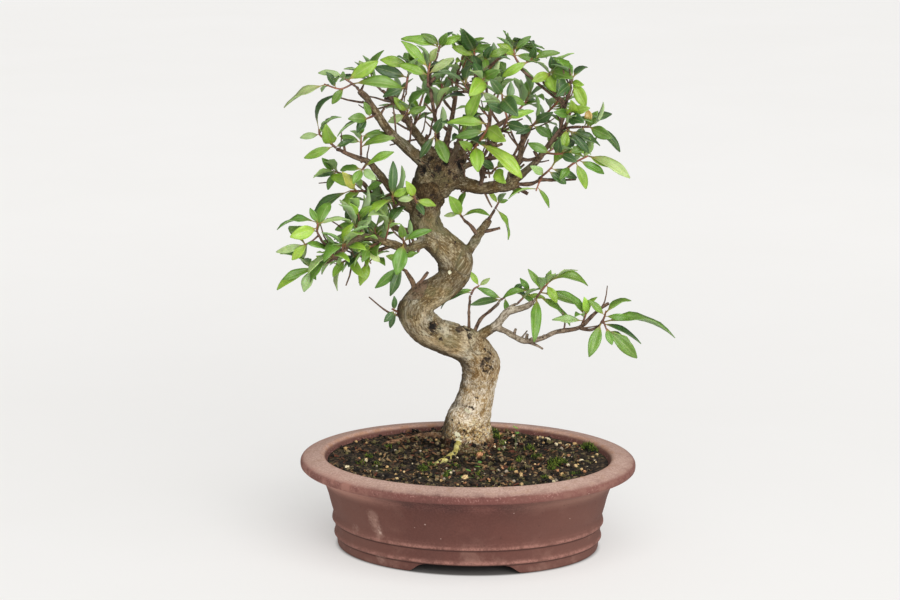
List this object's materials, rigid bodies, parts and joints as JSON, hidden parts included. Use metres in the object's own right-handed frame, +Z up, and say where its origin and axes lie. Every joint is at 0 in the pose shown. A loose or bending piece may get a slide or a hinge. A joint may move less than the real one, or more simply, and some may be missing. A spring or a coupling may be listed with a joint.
{
  "type": "pomegranate bonsai",
  "caption": "Small pomegranate tree with a winding trunk and leafy shoots, growing in soil in an oval unglazed clay pot with a broad rim.",
  "frame": {"origin": "on the table, under the middle of the whole object's width and depth", "axes": "+Z up, +X to the right of the pot's long side, +Y away from the viewer of the front view"},
  "size_m": [0.2303, 0.165, 0.3119],
  "materials": {
    "pot_clay": "unglazed fired clay, matt",
    "screen_plastic": "black plastic net",
    "potting_soil": "crumbly dark soil with bark and pumice",
    "bark": "grey tan bark, matt",
    "leaf": "thin glossy green leaves"
  },
  "bodies": {
    "root": {"pot": "pot_clay", "drain_mesh_left": "screen_plastic", "drain_mesh_right": "screen_plastic", "soil": "potting_soil", "trunk": "bark", "spray_01": "leaf", "spray_02": "leaf", "spray_03": "leaf", "spray_04": "leaf", "spray_05": "leaf", "spray_06": "leaf", "spray_07": "leaf", "spray_08": "leaf", "spray_09": "leaf", "spray_10": "leaf", "spray_11": "leaf", "spray_12": "leaf", "spray_13": "leaf", "spray_14": "leaf", "spray_15": "leaf", "spray_16": "leaf", "spray_17": "leaf", "spray_18": "leaf", "spray_19": "leaf", "spray_20": "leaf", "spray_21": "leaf", "spray_22": "leaf", "spray_23": "leaf", "spray_24": "leaf", "spray_25": "leaf", "spray_26": "leaf", "spray_27": "leaf", "spray_28": "leaf", "spray_29": "leaf", "spray_30": "leaf", "spray_31": "leaf", "spray_32": "leaf", "spray_33": "leaf", "spray_34": "leaf", "spray_35": "leaf", "spray_36": "leaf", "spray_37": "leaf", "spray_38": "leaf", "spray_39": "leaf", "spray_40": "leaf", "spray_41": "leaf", "spray_42": "leaf", "spray_43": "leaf", "spray_44": "leaf", "spray_45": "leaf", "spray_46": "leaf", "spray_47": "leaf", "spray_48": "leaf", "spray_49": "leaf", "spray_50": "leaf", "spray_51": "leaf", "spray_52": "leaf", "spray_53": "leaf", "spray_54": "leaf", "spray_55": "leaf"}
  },
  "joints": []
}
